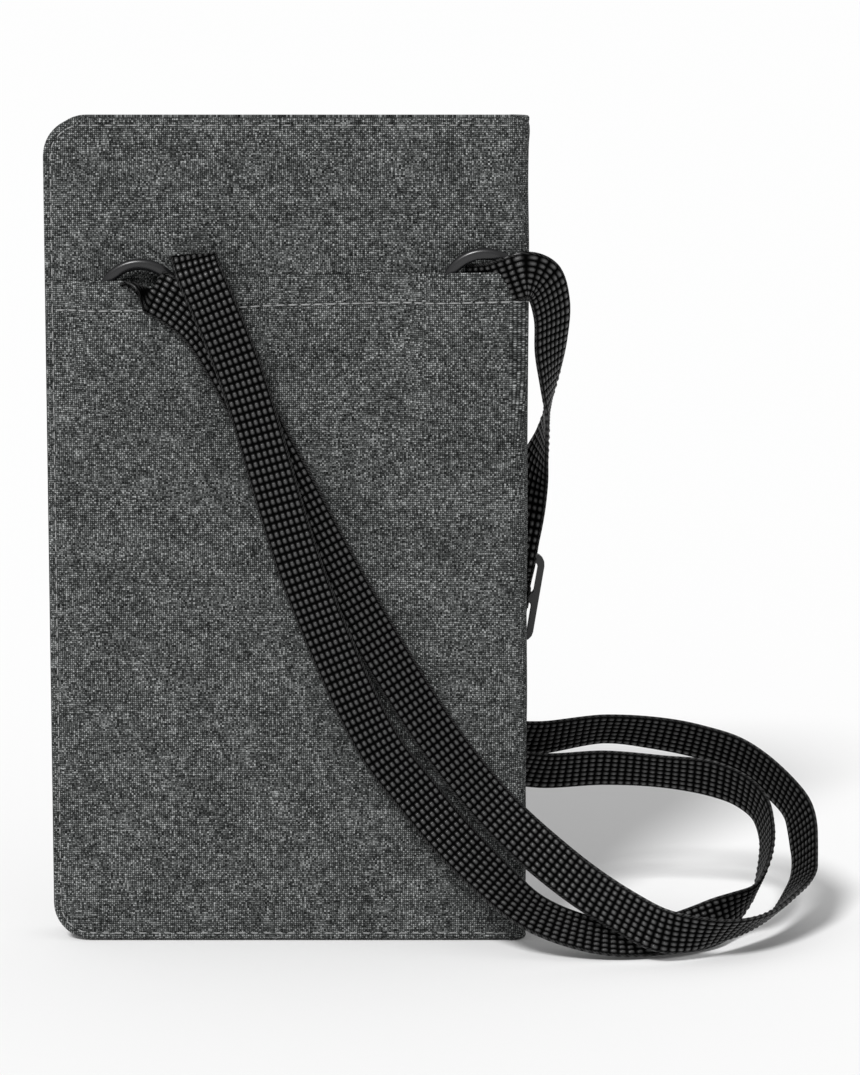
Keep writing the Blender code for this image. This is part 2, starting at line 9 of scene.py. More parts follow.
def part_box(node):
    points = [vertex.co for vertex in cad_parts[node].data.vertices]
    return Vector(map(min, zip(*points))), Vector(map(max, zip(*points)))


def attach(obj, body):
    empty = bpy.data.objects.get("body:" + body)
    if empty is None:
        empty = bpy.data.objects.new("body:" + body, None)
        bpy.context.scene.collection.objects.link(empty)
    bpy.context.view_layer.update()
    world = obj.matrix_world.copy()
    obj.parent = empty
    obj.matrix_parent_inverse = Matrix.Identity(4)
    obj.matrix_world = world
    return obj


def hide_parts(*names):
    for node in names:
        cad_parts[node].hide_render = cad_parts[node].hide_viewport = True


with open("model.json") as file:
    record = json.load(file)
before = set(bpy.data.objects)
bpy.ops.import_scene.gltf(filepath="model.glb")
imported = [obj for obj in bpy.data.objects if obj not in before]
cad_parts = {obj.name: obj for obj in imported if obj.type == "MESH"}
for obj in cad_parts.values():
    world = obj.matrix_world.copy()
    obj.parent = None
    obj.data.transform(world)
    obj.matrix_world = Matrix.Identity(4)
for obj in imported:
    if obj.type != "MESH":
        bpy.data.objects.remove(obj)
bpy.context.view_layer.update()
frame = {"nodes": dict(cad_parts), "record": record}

# Lengths are in millimetres until a mesh is made. The pouch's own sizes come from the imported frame.
MM = 0.001


def box_mm(node):
    low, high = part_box(node)
    return low / MM, high / MM


SHELL_LOW, SHELL_HIGH = box_mm("outer_shell")
LEFT = SHELL_LOW.x
RIGHT = SHELL_HIGH.x
FRONT = SHELL_LOW.y
BACK = SHELL_HIGH.y
HEIGHT = SHELL_HIGH.z
MID = (FRONT + BACK) / 2
CLOTH = 1.0
CORNER = 10.0
FOLD_RADIUS = 5.0

# Seams, and the slot of the zipped pocket
EDGE_ROLL = 1.3
STITCH_PITCH = 3.3
STITCH_INSET = 2.0
STITCH_RAISE = 0.1
SLOT_HALF = (51.0, 3.6)
SLOT_HEIGHT = (box_mm("pocket_zip_coil")[0].z + box_mm("pocket_zip_coil")[1].z) / 2

# Light
WORLD_STRENGTH = 0.5
KEY_DIRECTION = (0.26, 0.60, -0.60)
KEY_SPREAD = 13
KEY_POWER = 2.75
FLOOR_SIZE = 60.0
FLOOR_LEVEL = -0.0002

# Camera
CAMERA_PLACE = (0.037, -1.0, 0.27)
CAMERA_PITCH = 8.6
CAMERA_LENS = 129.3
CAMERA_SHIFT = -0.0419

# Slip pocket
POCKET_EDGE_LEFT = 175.2
POCKET_EDGE_RIGHT = 178.0
HEM_DEPTH = 7.7
HEM_STITCH_RAISE = 0.22
POCKET_PLY = 0.6
POCKET_GAP = 0.45
RING_PUSH = 5.1
STRAP_PUSH = 2.9
DIP_DEPTH = 5.0
DIP_PLACE = -34.5
DIP_HALF_WIDTH = 4.6

# Strap
STRAP_WIDTH = 12.0
STRAP_THICKNESS = 1.2
ROW_PITCH = 2.1
COLUMN_PITCH = 1.6
SELVEDGE = 0.65
COLUMNS = 7
FLOAT_RISE = 0.46
GROUND_DEPTH = 0.25
RING_RADIUS = 11.5
RING_BAND = 3.0
RING_THICKNESS = 2.4
RING_LEAN = 6.0
GLIDE_CENTRE = (57.6, 13.5, 89.5)
GLIDE_LEAN = 9.4

RING_RUN = [
    ((46.8, -8.6, 173.6), (0, -0.1, 1)),
    ((50.2, -9.6, 174.0), (0, -0.25, 0.96)),
    ((54.0, -11.6, 174.8), (-0.05, -0.33, 0.94)),
    ((58.0, -14.0, 176.2), (-0.05, -0.2, 0.97)),
    ((62.0, -14.9, 177.3), (0, 0, 1)),
    ((66.0, -11.8, 175.3), (0.5, 0.1, 0.8)),
    ((68.5, -6.5, 167.5), (0.75, 0.45, 0.4)),
    ((68.5, -2.0, 158.0), (0.7, 0.62, 0.25)),
    ((68.5, 2.0, 148.5), (0.42, 0.88, 0.1)),
    ((68.0, 5.5, 140.0), (0.05, 1, 0)),
    ((66.5, 9.5, 130.5), (-0.3, 0.95, 0)),
    ((63.5, 13.0, 119.5), (-0.8, 0.6, 0)),
]
OUTER_RUN = [
    ((53.3, 17.0, 64.0), (1, 0, 0.05)),
    ((53.3, 19.8, 56.0), (0.85, -0.2, 0.45)),
    ((57.5, 24.0, 49.0), (0.3, -0.45, 0.8)),
    ((65.5, 28.0, 47.0), (0.05, -0.5, 0.85)),
    ((85.0, 35.0, 48.0), (-0.1, -0.62, 0.75)),
    ((98.5, 37.0, 46.5), (-0.1, -0.5, 0.8)),
    ((111.0, 37.0, 44.0), (-0.05, -0.45, 0.87)),
    ((122.0, 34.0, 40.5), (0.1, -0.4, 0.9)),
    ((130.0, 28.0, 35.5), (0.4, -0.6, 0.7)),
    ((136.0, 20.0, 29.5), (0.5, -0.8, 0.2)),
    ((137.5, 12.0, 22.5), (0.45, -0.88, 0.12)),
    ((136.5, 4.0, 15.0), (0.32, -0.92, 0.15)),
    ((130.5, -9.0, 10.5), (0.03, -0.95, 0.28)),
    ((122.5, -19.0, 8.0), (0, -0.9, 0.42)),
    ((113.5, -26.5, 7.5), (0.05, -0.75, 0.65)),
    ((105.0, -30.0, 7.8), (0.2, -0.4, 0.88)),
    ((96.5, -30.5, 9.0), (0.35, -0.1, 0.93)),
    ((87.5, -27.5, 13.0), (0.42, -0.1, 0.9)),
    ((78.0, -23.5, 18.2), (0.5, 0, 0.85)),
    ((68.5, -20.5, 25.0), (0.57, 0.1, 0.8)),
    ((58.0, -18.0, 34.0), (0.62, 0.3, 0.73)),
    ((47.5, -16.3, 45.5), (0.7, 0.3, 0.62)),
    ((35.5, -15.5, 62.0), (0.8, 0.2, 0.52)),
    ((16.5, -15.3, 94.0), (0.88, 0.05, 0.46)),
    ((-3.5, -15.3, 132.0), (0.9, 0, 0.42)),
    ((-20.5, -15.4, 163.0), (0.85, 0, 0.5)),
    ((-27.0, -15.3, 169.0), (0.85, 0, 0.5)),
    ((-32.0, -15.2, 172.1), (0.95, 0, 0.15)),
    ((-35.2, -14.6, 173.4), (1, 0, -0.2)),
    ((-36.9, -12.8, 173.1), (1, 0, -0.2)),
    ((-37.5, -11.0, 171.8), (1, 0, -0.1)),
    ((-37.5, -9.6, 169.5), (1, 0, 0)),
    ((-37.5, -8.6, 166.2), (1, 0, 0)),
]
RETURN_RUN = [
    ((-17.0, -8.2, 160.0), (0.93, 0, 0.36)),
    ((-20.5, -8.2, 170.0), (0.93, 0, 0.36)),
    ((-23.2, -8.8, 178.5), (0.97, 0, 0.24)),
    ((-23.6, -12.6, 182.0), (0.99, 0, 0.08)),
    ((-22.0, -17.0, 178.0), (0.97, 0, 0.24)),
    ((-18.5, -17.9, 170.0), (0.9, 0, 0.43)),
    ((-11.5, -17.7, 152.0), (0.95, 0, 0.3)),
    ((5.0, -17.7, 97.5), (0.93, 0, 0.35)),
    ((23.5, -17.6, 55.5), (0.87, 0, 0.48)),
    ((33.0, -17.6, 42.5), (0.78, 0.1, 0.62)),
    ((42.0, -18.6, 31.5), (0.68, 0.25, 0.68)),
    ((52.0, -20.2, 21.3), (0.55, 0.45, 0.7)),
    ((63.0, -22.0, 12.0), (0.38, 0.7, 0.6)),
    ((75.0, -23.0, 6.9), (0.22, 0.78, 0.58)),
    ((86.5, -22.5, 4.6), (0.05, 0.8, 0.6)),
    ((98.5, -19.5, 4.6), (-0.15, 0.75, 0.62)),
    ((109.0, -14.5, 5.8), (-0.4, 0.3, 0.8)),
    ((117.0, -8.5, 8.2), (-0.45, -0.6, 0.62)),
    ((122.5, -3.0, 11.2), (-0.15, -0.92, 0.35)),
    ((126.0, 3.5, 17.0), (0.08, -0.96, 0.24)),
    ((127.5, 12.0, 24.5), (0.2, -0.95, 0.2)),
    ((126.0, 18.0, 30.0), (0.36, -0.85, 0.38)),
    ((121.5, 23.0, 33.5), (0.42, -0.68, 0.65)),
    ((113.5, 27.0, 36.0), (0.2, -0.45, 0.87)),
    ((100.0, 29.0, 37.5), (-0.05, -0.5, 0.84)),
    ((84.5, 29.0, 38.5), (-0.05, -0.45, 0.87)),
    ((67.0, 24.5, 38.8), (0.05, -0.45, 0.87)),
    ((57.0, 20.0, 42.0), (0.35, -0.4, 0.8)),
    ((52.3, 15.8, 49.5), (0.9, -0.1, 0.4)),
    ((52.4, 12.8, 59.0), (1, 0, 0.1)),
]
WEAVE_ABOVE_BAR = [(16, -2.2), (12, -2.2), (8.5, -2.0), (5.6, 0.8), (4.2, 2.2)]
WEAVE_BELOW_BAR = [(3.9, 2.5), (2.6, 3.4), (0, 3.9), (-5, 3.7), (-11, 2.8), (-16, 2.8)]
RETURN_WEAVE = [(-18, -2.8), (-12, -2.4), (-8.8, -2.0), (-5.4, 0.2), (-2.6, 1.9), (0, 2.3)]
RETURN_WEAVE += [(1.6, 2.0), (2.4, 0.8), (2.4, -0.6), (1.6, -1.9), (0.2, -2.4), (-2.6, -2.5)]


# ---------------------------------------------------------------- materials


class Shade:
    """A node material: short calls for the nodes that the materials here are made of."""

    def __init__(self, name, roughness, metallic=0.0, sheen=0.0, specular=0.5):
        self.material = bpy.data.materials.new(name)
        self.material.use_nodes = True
        self.tree = self.material.node_tree
        self.shader = self.tree.nodes["Principled BSDF"]
        self.shader.inputs["Roughness"].default_value = roughness
        self.shader.inputs["Metallic"].default_value = metallic
        self.shader.inputs["Sheen Weight"].default_value = sheen
        self.shader.inputs["Specular IOR Level"].default_value = specular

    def put(self, socket, value):
        if isinstance(value, bpy.types.NodeSocket):
            self.tree.links.new(value, socket)
        elif isinstance(value, tuple) and len(value) == 3 and socket.type == "RGBA":
            socket.default_value = (*value, 1.0)
        else:
            socket.default_value = value

    def math(self, operation, a, b=0.0, c=0.0):
        made = self.tree.nodes.new("ShaderNodeMath")
        made.operation = operation
        for socket, value in zip(made.inputs, (a, b, c)):
            self.put(socket, value)
        return made.outputs[0]

    def uv(self):
        """The cloth's own coordinates, in millimetres."""
        return self.tree.nodes.new("ShaderNodeTexCoord").outputs["UV"]

    def place(self):
        return self.tree.nodes.new("ShaderNodeTexCoord").outputs["Object"]

    def split(self, vector):
        made = self.tree.nodes.new("ShaderNodeSeparateXYZ")
        self.put(made.inputs[0], vector)
        return made.outputs[0], made.outputs[1], made.outputs[2]

    def join(self, x, y):
        made = self.tree.nodes.new("ShaderNodeCombineXYZ")
        self.put(made.inputs[0], x)
        self.put(made.inputs[1], y)
        return made.outputs[0]

    def stretch(self, vector, scale):
        made = self.tree.nodes.new("ShaderNodeVectorMath")
        made.operation = "MULTIPLY"
        self.put(made.inputs[0], vector)
        made.inputs[1].default_value = scale
        return made.outputs[0]

    def noise(self, vector, scale, detail=2.0, rough=0.5):
        made = self.tree.nodes.new("ShaderNodeTexNoise")
        self.put(made.inputs["Vector"], vector)
        made.inputs["Scale"].default_value = scale
        made.inputs["Detail"].default_value = detail
        made.inputs["Roughness"].default_value = rough
        return made.outputs["Fac"]

    def ramp(self, value, stops):
        made = self.tree.nodes.new("ShaderNodeValToRGB")
        self.put(made.inputs[0], value)
        elements = made.color_ramp.elements
        while len(elements) < len(stops):
            elements.new(0.5)
        for element, (position, grey) in zip(elements, stops):
            element.position = position
            colour = grey if isinstance(grey, tuple) else (grey, grey, grey)
            element.color = (*colour, 1.0)
        return made.outputs[0]

    def mix(self, share, a, b):
        made = self.tree.nodes.new("ShaderNodeMix")
        made.data_type = "RGBA"
        self.put(made.inputs["Factor"], share)
        self.put(made.inputs["A"], a)
        self.put(made.inputs["B"], b)
        return made.outputs["Result"]

    def colour(self, value):
        self.put(self.shader.inputs["Base Color"], value)

    def bump(self, height, distance, strength=1.0):
        made = self.tree.nodes.new("ShaderNodeBump")
        made.inputs["Distance"].default_value = distance * MM
        made.inputs["Strength"].default_value = strength
        self.put(made.inputs["Height"], height)
        self.tree.links.new(made.outputs[0], self.shader.inputs["Normal"])


def wave(shade, coordinate, pitch, phase=0.0):
    """A ridge from 0 to 1 that repeats each pitch."""
    angle = shade.math("MULTIPLY_ADD", coordinate, 2 * math.pi / pitch, phase)
    return shade.math("MULTIPLY_ADD", shade.math("SINE", angle), 0.5, 0.5)


def melange_cloth():
    """Charcoal polyester: threads of dark and pale fibres, each its own grey, in a plain weave."""
    s = Shade("melange_cloth_look", roughness=0.9, specular=0.08)
    uv = s.uv()
    u, v, _ = s.split(uv)
    pitch = 0.52
    column = s.math("FLOOR", s.math("DIVIDE", u, pitch))
    row = s.math("FLOOR", s.math("DIVIDE", v, pitch))
    apart = 7.31
    drawn = 0.42
    warp = s.join(s.math("MULTIPLY", column, apart), s.math("MULTIPLY", v, drawn))
    warp = s.noise(warp, 1.0, 3.0, 0.7)
    weft = s.join(s.math("MULTIPLY", u, drawn), s.math("MULTIPLY", row, apart))
    weft = s.noise(weft, 1.0, 3.0, 0.7)
    over = s.math("MODULO", s.math("ABSOLUTE", s.math("ADD", column, row)), 2.0)
    fibre = s.mix(over, warp, weft)
    grain = s.noise(uv, 2.2, 3.0, 0.75)
    fibre = s.math("MULTIPLY_ADD", s.math("SUBTRACT", grain, 0.5), 0.6, fibre)
    cloudy = s.noise(uv, 0.08, 3.0, 0.6)
    fibre = s.math("MULTIPLY_ADD", s.math("SUBTRACT", cloudy, 0.5), 0.13, fibre)
    across = wave(s, u, pitch, -math.pi / 2)
    along = wave(s, v, pitch, -math.pi / 2)
    crest = s.mix(over, across, along)
    # Painted light and shade of the weave: thread middles a little lighter, the dips between threads
    # darker.
    sunk = s.math("MULTIPLY", s.math("POWER", across, 0.5), s.math("POWER", along, 0.5))
    fibre = s.math("MULTIPLY_ADD", s.math("SUBTRACT", sunk, 0.6), 0.22, fibre)
    tint = s.ramp(fibre, [
        (0.28, (0.004, 0.0044, 0.0043)),
        (0.44, (0.034, 0.0358, 0.0352)),
        (0.56, (0.124, 0.1294, 0.1276)),
        (0.70, (0.40, 0.410, 0.407)),
    ])
    s.colour(tint)
    height = s.math("MULTIPLY_ADD", fibre, 0.8, s.math("MULTIPLY", crest, 0.7))
    s.bump(height, 0.16, 0.8)
    return s.material


def webbing():
    """Black webbing: rows of raised warp floats that catch the light, with a painted highlight on them
    and painted shade in the black grooves between them.
    """
    s = Shade("webbing_look", roughness=0.36, specular=0.1)
    uv = s.uv()
    u, v, _ = s.split(uv)
    across = wave(s, u, COLUMN_PITCH, -math.pi / 2)
    along = wave(s, v, ROW_PITCH, -math.pi / 2)
    raised = s.math("MULTIPLY", across, along)
    fine = s.noise(s.stretch(uv, (6.0, 1.4, 1.0)), 1.0, 2.0, 0.6)
    shade = s.math("MULTIPLY_ADD", s.math("SUBTRACT", fine, 0.5), 0.5, raised)
    # Painted highlight and shade: the raised floats are painted lighter and the grooves between them
    # darker; the noise adds random tone.
    painted_float_light = s.ramp(shade, [(0.08, 0.0012), (0.3, 0.008), (0.6, 0.026), (0.95, 0.038)])
    slant = wave(s, s.math("MULTIPLY_ADD", u, 1.3, v), 0.9)
    inside = s.math("MULTIPLY", s.math("GREATER_THAN", u, 0.0),
                    s.math("LESS_THAN", u, COLUMNS * COLUMN_PITCH))
    s.colour(s.mix(inside, s.ramp(slant, [(0.2, 0.003), (0.8, 0.022)]), painted_float_light))
    glint = s.math("MULTIPLY", s.math("POWER", raised, 1.2), 0.8)
    s.put(s.shader.inputs["Specular IOR Level"], glint)
    strands = wave(s, u, 0.27)
    cross = wave(s, v, 0.42)
    s.bump(s.math("MULTIPLY_ADD", strands, 0.6, s.math("MULTIPLY", cross, 0.5)), 0.06, 0.6)
    return s.material


def thread():
    """Pale grey sewing thread, with the twist of its plies."""
    s = Shade("thread_look", roughness=0.55, sheen=0.2)
    place = s.place()
    x, y, z = s.split(place)
    twist = wave(s, s.math("ADD", s.math("ADD", x, y), z), 0.0005)
    s.colour(s.mix(s.noise(place, 900.0), (0.15, 0.153, 0.152), (0.34, 0.345, 0.342)))
    s.bump(twist, 0.05, 0.5)
    return s.material


def satin_plastic():
    """Black moulded plastic with a slight grain."""
    s = Shade("satin_plastic_look", roughness=0.3)
    place = s.place()
    s.colour(s.mix(s.noise(place, 60.0), (0.006, 0.006, 0.0065), (0.014, 0.014, 0.015)))
    grain = s.noise(place, 2600.0, 3.0)
    s.put(s.shader.inputs["Roughness"], s.math("MULTIPLY_ADD", grain, 0.18, 0.2))
    s.bump(grain, 0.02, 0.4)
    return s.material


def dark_metal():
    """Dark nickel plating with fine rub marks."""
    s = Shade("dark_metal_look", roughness=0.28, metallic=1.0)
    place = s.place()
    rubbed = s.noise(s.stretch(place, (1.0, 4.0, 1.0)), 700.0, 4.0, 0.6)
    s.colour(s.ramp(rubbed, [(0.3, 0.06), (0.6, 0.12), (0.8, 0.22)]))
    s.put(s.shader.inputs["Roughness"], s.math("MULTIPLY_ADD", rubbed, 0.25, 0.16))
    s.bump(rubbed, 0.01, 0.3)
    return s.material


def zip_tape():
    """Knitted black tape: fine ribs along the zip and a herringbone over them."""
    s = Shade("zip_tape_look", roughness=0.85, sheen=0.15)
    place = s.stretch(s.place(), (1000.0, 1000.0, 1000.0))
    x, y, z = s.split(place)
    across = s.math("ADD", y, z)
    slant = wave(s, s.math("ADD", x, s.math("PINGPONG", across, 1.2)), 0.8)
    ribs = wave(s, across, 0.6)
    s.colour(s.ramp(s.math("MULTIPLY", slant, ribs), [(0.1, 0.006), (0.7, 0.03)]))
    s.bump(s.math("ADD", slant, ribs), 0.1, 0.8)
    return s.material


def nylon():
    """The zip's black nylon coil."""
    s = Shade("zip_coil_look", roughness=0.4)
    place = s.place()
    s.colour(s.mix(s.noise(place, 500.0), (0.008, 0.008, 0.009), (0.025, 0.025, 0.026)))
    s.bump(s.noise(place, 3000.0), 0.02, 0.3)
    return s.material


def lining():
    """Grey ripstop lining: a plain weave with a grid of thicker threads."""
    s = Shade("lining_look", roughness=0.7, sheen=0.1)
    place = s.stretch(s.place(), (1000.0, 1000.0, 1000.0))
    x, _, z = s.split(place)
    weave = s.math("MULTIPLY", wave(s, x, 0.4), wave(s, z, 0.4))
    grid = s.math("MAXIMUM", s.math("POWER", wave(s, x, 4.0), 30.0),
                  s.math("POWER", wave(s, z, 4.0), 30.0))
    height = s.math("MAXIMUM", weave, grid)
    s.colour(s.ramp(height, [(0.0, 0.07), (1.0, 0.17)]))
    s.bump(height, 0.08, 0.6)
    return s.material


def foam():
    """Black closed-cell foam."""
    s = Shade("foam_look", roughness=0.95)
    cells = s.noise(s.place(), 1500.0, 2.0)
    s.colour(s.ramp(cells, [(0.3, 0.01), (0.7, 0.05)]))
    s.bump(cells, 0.15, 0.8)
    return s.material


def foil():
    """Silvery shielding laminate, crinkled."""
    s = Shade("foil_look", roughness=0.35, metallic=0.9)
    crinkle = s.noise(s.place(), 180.0, 4.0, 0.7)
    s.colour(s.ramp(crinkle, [(0.3, 0.4), (0.7, 0.65)]))
    s.bump(crinkle, 0.3, 0.6)
    return s.material


def pale_floor():
    s = Shade("floor_look", roughness=0.9, specular=0.0)
    s.colour((0.905, 0.905, 0.905))
    return s.material


LOOKS = {
    "melange_cloth": melange_cloth(),
    "black_webbing": webbing(),
    "black_plastic": satin_plastic(),
    "dark_nickel": dark_metal(),
    "zip_tape": zip_tape(),
    "zip_coil": nylon(),
    "lining_cloth": lining(),
    "closed_cell_foam": foam(),
    "shield_foil": foil(),
    "thread": thread(),
}


# ---------------------------------------------------------------- meshes


def make(name, points, faces, look, uv=None):
    """A piece from points in millimetres, riding on the pouch. uv holds one pair for each point."""
    mesh = bpy.data.meshes.new(name)
    mesh.from_pydata((np.asarray(points, float) * MM).tolist(), [], faces)
    if uv is not None:
        layer = mesh.uv_layers.new(name="cloth")
        corners = np.zeros(len(mesh.loops), int)
        mesh.loops.foreach_get("vertex_index", corners)
        layer.data.foreach_set("uv", np.asarray(uv, np.float32)[corners].ravel())
    mesh.shade_smooth()
    mesh.update()
    piece = bpy.data.objects.new(name, mesh)
    bpy.context.collection.objects.link(piece)
    mesh.materials.append(LOOKS[look])
    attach(piece, "pouch")
    return piece


def grid_faces(rows, columns, keep=None, offset=0, flip=False, around=False):
    """The faces of a grid of points, stored row by row. keep(row, column) leaves some out."""
    faces = []
    last = columns if around else columns - 1
    for i in range(rows - 1):
        for j in range(last):
            if keep is not None and not keep(i, j):
                continue
            k = (j + 1) % columns
            a, b = offset + i * columns + j, offset + i * columns + k
            c, d = offset + (i + 1) * columns + k, offset + (i + 1) * columns + j
            faces.append((a, d, c, b) if flip else (a, b, c, d))
    return faces


def thicken(piece, thickness):
    """Gives a cloth its thickness, away from its face."""
    solid = piece.modifiers.new("thickness", "SOLIDIFY")
    solid.thickness = thickness * MM
    solid.offset = -1
    solid.use_rim = True


def edge_distance(x, z):
    """How far a place on a side panel is from its sewn edge: left, top or bottom."""
    dx = x - LEFT
    dz = min(z, HEIGHT - z)
    if dx < CORNER and dz < CORNER:
        return CORNER - math.hypot(CORNER - dx, CORNER - dz)
    return min(dx, dz)


def corner_inset(d):
    """How far the rounded corners cut into a panel's height, at distance d from its left edge."""
    if d >= CORNER:
        return 0.0
    return CORNER - math.sqrt(CORNER ** 2 - (CORNER - d) ** 2)


FRONT_RUN = RIGHT - FOLD_RADIUS - LEFT
ARC_RUN = math.pi / 2 * FOLD_RADIUS
SIDE_RUN = BACK - FRONT - 2 * FOLD_RADIUS
AROUND = 2 * FRONT_RUN + 2 * ARC_RUN + SIDE_RUN


def plan(s):
    """The shell's plan line at distance s from its front left edge: place and outward direction."""
    cx = RIGHT - FOLD_RADIUS
    if s <= FRONT_RUN:
        return LEFT + s, FRONT, 0.0, -1.0
    s -= FRONT_RUN
    if s <= ARC_RUN:
        angle = -math.pi / 2 + s / FOLD_RADIUS
        c, n = math.cos(angle), math.sin(angle)
        return cx + FOLD_RADIUS * c, FRONT + FOLD_RADIUS + FOLD_RADIUS * n, c, n
    s -= ARC_RUN
    if s <= SIDE_RUN:
        return RIGHT, FRONT + FOLD_RADIUS + s, 1.0, 0.0
    s -= SIDE_RUN
    if s <= ARC_RUN:
        angle = s / FOLD_RADIUS
        c, n = math.cos(angle), math.sin(angle)
        return cx + FOLD_RADIUS * c, BACK - FOLD_RADIUS + FOLD_RADIUS * n, c, n
    s -= ARC_RUN
    return cx - s, BACK, 0.0, 1.0


def soft(x, z, seed):
    """Slow dents and swells of padded cloth, in millimetres."""
    wide = noise.noise(Vector((x / 42, seed, z / 55)))
    near = noise.noise(Vector((x / 17, seed + 9, z / 23)))
    return 0.9 * wide + 0.3 * near


def crown(x, z):
    """The swell of a panel over what is in the pouch: none along its sewn edges."""
    middle = (LEFT + RIGHT - FOLD_RADIUS) / 2
    half = (RIGHT - FOLD_RADIUS - LEFT) / 2
    across = max(0.0, 1 - abs((x - middle) / half) ** 3)
    up = math.sin(math.pi * min(max(z / HEIGHT, 0.0), 1.0)) ** 0.6
    return across * up


def rolled(distance, radius):
    """The fall of a rolled edge: 1 at the edge itself, 0 from its radius on."""
    if distance >= radius:
        return 0.0
    return 1 - math.sqrt(max(0.0, 1 - (1 - distance / radius) ** 2))


def seam_relief(e, run):
    """The rolled edge, the sunk line of stitches and the puff beside it, for edge distance e."""
    relief = -1.0 * rolled(e, EDGE_ROLL)
    pucker = 0.7 + 0.3 * math.cos(2 * math.pi * run / STITCH_PITCH)
    relief -= 0.55 * pucker * math.exp(-(((e - STITCH_INSET) / 0.5) ** 2))
    relief += 0.35 * math.exp(-(((e - 4.6) / 2.0) ** 2))
    return relief


def shell_offset(s, x, z):
    """How far the shell's face stands off its plan line."""
    front = s <= FRONT_RUN
    back = s >= FRONT_RUN + 2 * ARC_RUN + SIDE_RUN
    e = edge_distance(x, z)
    run = z if x - LEFT < CORNER else x
    if front:
        crease = 0.9 * math.exp(-(((x - 17 + (z - 192) * 0.4) / 5) ** 2) - ((z - 190) / 17) ** 2)
        swell = (0.5 + 0.9 * soft(x, z, 3.1)) * crown(x, z) - crease
        return swell + seam_relief(e, run)
    if back:
        dx = max(abs(x) - SLOT_HALF[0], 0.0)
        dz = max(abs(z - SLOT_HEIGHT) - SLOT_HALF[1], 0.0)
        near = math.hypot(dx, dz)
        calm = 1 - math.exp(-((near / 14) ** 2))
        swell = 0.5 * crown(x, z) + 0.7 * soft(x, z, 7.7) * crown(x, z)
        relief = seam_relief(e, run) + swell * calm
        relief -= 0.5 * math.exp(-((near / 0.7) ** 2))
        return relief - 0.25 * math.exp(-(((near - 2.2) / 0.5) ** 2))
    level = min(z, HEIGHT - z)
    return seam_relief(level + 0.6, z) * 0.5 + 0.35 * noise.noise(Vector((s / 9, 5.0, z / 26)))


def shell_point(s, z, out=0.0):
    """A place on the outside of the shell, and out beyond it."""
    x, y, nx, ny = plan(s)
    off = shell_offset(s, x, z) + out
    return (x + nx * off, y + ny * off, z)


def spaced(start, end, step):
    count = max(1, round((end - start) / step))
    return [start + (end - start) * i / count for i in range(count + 1)]


def merged(values, gap):
    """The sorted values, without those that nearly repeat."""
    kept = []
    for value in sorted(values):
        if not kept or value - kept[-1] > gap:
            kept.append(value)
    return kept


def edge_steps():
    """Distances from a sewn edge, close together where the relief is fine."""
    return [0, 0.12, 0.3, 0.55, 0.9, 1.3, 1.6, 2.0, 2.4, 2.9, 3.6, 4.4, 5.4, 6.6, 8.0, 9.0, 10.0]


def pouch_shell():
    """The melange cloth of both sides and of the fold between them, in one piece."""
    folds = FRONT_RUN + 2 * ARC_RUN + SIDE_RUN
    steps = edge_steps()
    columns = steps + spaced(10, FRONT_RUN, 1.6)[1:]
    columns += spaced(FRONT_RUN, folds, 0.8)[1:]
    slot_ends = [AROUND - (x - LEFT) for x in (SLOT_HALF[0], -SLOT_HALF[0])]
    back = [AROUND - d for d in steps]
    back += [end + d for end in slot_ends for d in (-2.6, -2.2, -1.6, -1.0, -0.5, 0, 0.8)]
    inner = spaced(folds, AROUND - 10, 1.6)[1:]
    back += [s for s in inner if min(abs(s - end) for end in slot_ends) > 3]
    columns += merged([s for s in back if s > folds], 0.08)
    shares = [d / HEIGHT for d in steps] + [1 - d / HEIGHT for d in steps]
    slot_z = [SLOT_HEIGHT + side * SLOT_HALF[1] + side * d
              for side in (-1, 1) for d in (-0.8, 0, 0.5, 1.0, 1.6, 2.2, 2.6)]
    shares += [z / HEIGHT for z in slot_z]
    plain = [z for z in spaced(10, HEIGHT - 10, 1.7) if min(abs(z - q) for q in slot_z) > 0.9]
    shares += [z / HEIGHT for z in plain]
    shares = merged(shares, 0.0001)
    points, uv = [], []
    for share in shares:
        for s in columns:
            inset = corner_inset(min(s, AROUND - s))
            z = inset + (HEIGHT - 2 * inset) * share
            points.append(shell_point(s, z))
            uv.append((s, z))
    count = len(columns)

    def keep(i, j):
        x = plan((columns[j] + columns[j + 1]) / 2)[0]
        z = HEIGHT * (shares[i] + shares[i + 1]) / 2
        on_back = columns[j] > folds
        return not (on_back and abs(x) < SLOT_HALF[0] and abs(z - SLOT_HEIGHT) < SLOT_HALF[1])

    faces = grid_faces(len(shares), count, keep)
    piece = make("pouch_shell", points, faces, "melange_cloth", uv=uv)
    thicken(piece, CLOTH)
    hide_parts("outer_shell")
    return piece


